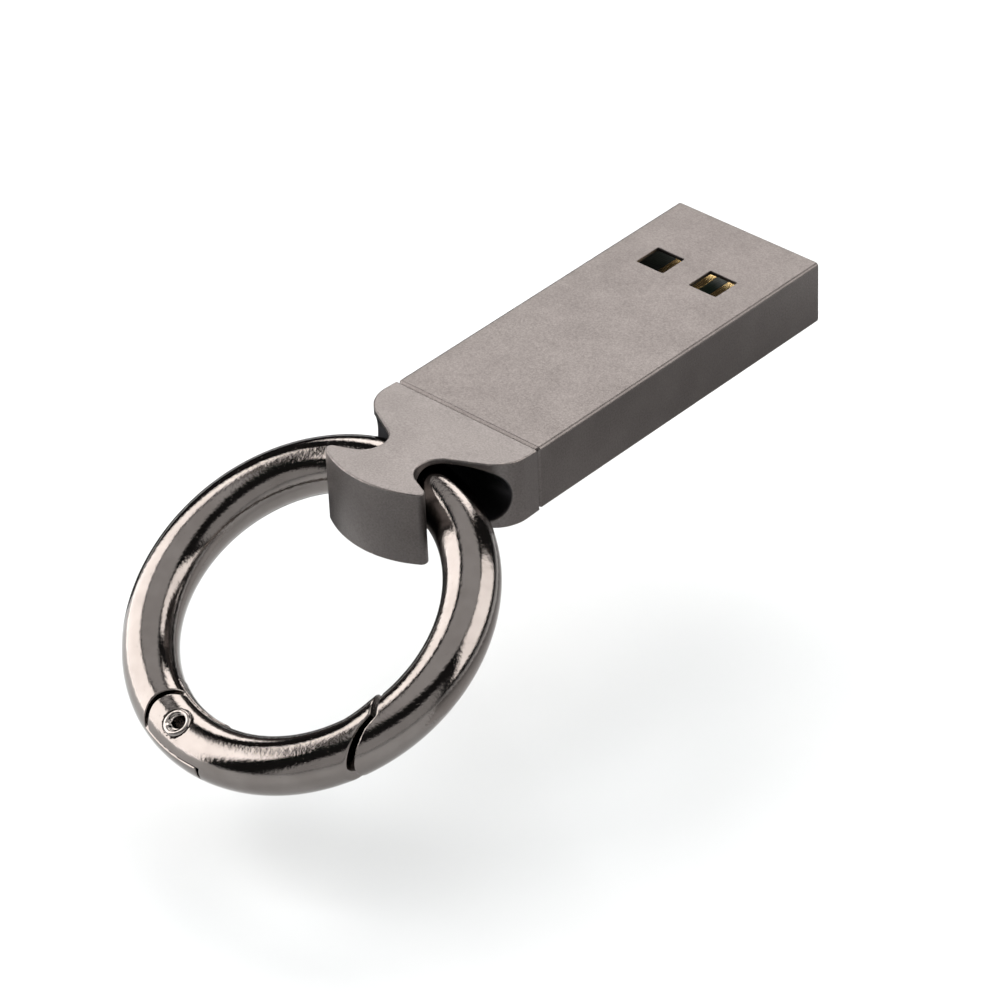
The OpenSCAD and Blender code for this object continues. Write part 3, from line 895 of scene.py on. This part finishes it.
def softbox(name, side, distance, half_angle, low, high, radiance):
    """An upright lamp around the ring: side is its direction from +Y towards +X, low and high are in mm."""
    width = 2 * distance * math.tan(math.radians(half_angle))
    data = bpy.data.lights.new(name, "AREA")
    data.shape = "RECTANGLE"
    data.size = width * MM
    data.size_y = (high - low) * MM
    data.energy = radiance * math.pi * data.size * data.size_y
    data.color = LAMP_COLOR
    lamp = bpy.data.objects.new(name, data)
    bpy.context.collection.objects.link(lamp)
    out = Vector((math.sin(math.radians(side)), math.cos(math.radians(side)), 0))
    place = Matrix((out.cross((0, 0, 1)), (0, 0, 1), out)).transposed().to_4x4()
    place.translation = (Vector(RING_C) + out * distance) * MM
    place.translation.z = (low + high) / 2 * MM
    lamp.matrix_world = place
    lamp.visible_camera = False


def floor_card(name, side, half_angle, near, far, levels):
    """A card on the floor that only mirrors see, so that the ring's edges read against something darker.
    Its levels are how bright it is at its near edge and from a third of the way to its far edge."""
    corners = []
    for reach, angles in ((near, (-1, 1)), (far, (1, -1))):
        for turn in angles:
            a = math.radians(side + turn * half_angle)
            corners.append((reach * math.sin(a) * MM, reach * math.cos(a) * MM, 0))
    mesh = bpy.data.meshes.new(name)
    mesh.from_pydata(corners, [], [(0, 1, 2, 3)])
    finish = Finish(name, (0, 0, 0), 1.0)
    finish.shader.inputs["Emission Color"].default_value = (1, 0.98, 0.97, 1)
    reach = finish.node("ShaderNodeVectorMath", {0: finish.place}, operation="LENGTH").outputs["Value"]
    level = finish.remap(reach, near, near + (far - near) / 3, *levels)
    finish.tree.links.new(level, finish.shader.inputs["Emission Strength"])
    mesh.materials.append(finish.material)
    card = bpy.data.objects.new(name, mesh)
    card.location = (RING_C[0] * MM, RING_C[1] * MM, FLOOR_Z + 0.1 * MM)
    bpy.context.collection.objects.link(card)
    card.visible_camera = card.visible_diffuse = card.visible_shadow = card.visible_transmission = False


CEILING, FRONT_FILL, ROOM, BACKDROP = 1.05, 0.8, 0.03, 0.96
CEILING_EDGE = (0.83, 0.86)                             # heights on the unit sphere between which it starts
FRONT_EDGE, FRONT_TOP = (0.66, 0.74), (0.48, 0.56)      # the same for the front band's sides and top


def make_world():
    """A pale ceiling and a low band of fill in front; the rest of the room is dark."""
    world = bpy.data.worlds.new("studio")
    bpy.context.scene.world = world
    world.use_nodes = True
    tree = world.node_tree
    tree.nodes.clear()

    def node(kind, links, **values):
        made = tree.nodes.new(kind)
        for key, value in values.items():
            setattr(made, key, value)
        for socket, value in links.items():
            if isinstance(value, bpy.types.NodeSocket):
                tree.links.new(value, made.inputs[socket])
            else:
                made.inputs[socket].default_value = value
        return made

    def ramp(value, low, high, to_low, to_high):
        links = {"Value": value, "From Min": low, "From Max": high, "To Min": to_low, "To Max": to_high}
        return node("ShaderNodeMapRange", links, interpolation_type="SMOOTHSTEP").outputs[0]

    direction = tree.nodes.new("ShaderNodeTexCoord").outputs["Generated"]
    up = node("ShaderNodeSeparateXYZ", {0: direction}).outputs["Z"]
    ceiling = ramp(up, *CEILING_EDGE, 0.0, CEILING)
    front = node("ShaderNodeVectorMath", {0: direction, 1: (0.707, -0.707, 0)},
                 operation="DOT_PRODUCT").outputs["Value"]
    sideways = ramp(front, *FRONT_EDGE, 0.0, FRONT_FILL)
    upwards = ramp(up, *FRONT_TOP, 1.0, 0.0)
    band = node("ShaderNodeMath", {0: sideways, 1: upwards}, operation="MULTIPLY").outputs[0]
    light = node("ShaderNodeMath", {0: ceiling, 1: band}, operation="ADD").outputs[0]
    light = node("ShaderNodeMath", {0: light, 1: ROOM}, operation="ADD").outputs[0]
    seen = tree.nodes.new("ShaderNodeLightPath").outputs["Is Camera Ray"]
    strength = node("ShaderNodeMix", {0: seen, 2: light, 3: BACKDROP}).outputs[0]
    background = node("ShaderNodeBackground", {"Color": (0.99, 0.985, 0.98, 1), "Strength": strength})
    node("ShaderNodeOutputWorld", {"Surface": background.outputs[0]})


SOFTBOXES = {           # direction, distance, half angle, lowest and highest point, radiance
    "left_softbox": (-120, 130, 33, FLOOR_Z / MM, 160, 4.8),
    "right_softbox": (50, 160, 30, 20, 215, 3.8),
    "back_softbox": (-34, 260, 27, 110, 320, 5.0),
}
FLOOR_CARDS = {         # direction, half angle, near and far edge, levels
    "black_card": (-62, 26, 20, 110, (0.02, 0.02)),
    "grey_card": (27, 60, 24, 130, (0.85, 0.32)),
}
make_floor()
for name, values in SOFTBOXES.items():
    softbox(name, *values)
for name, values in FLOOR_CARDS.items():
    floor_card(name, *values)
make_world()
bpy.context.scene.view_settings.view_transform = "Standard"
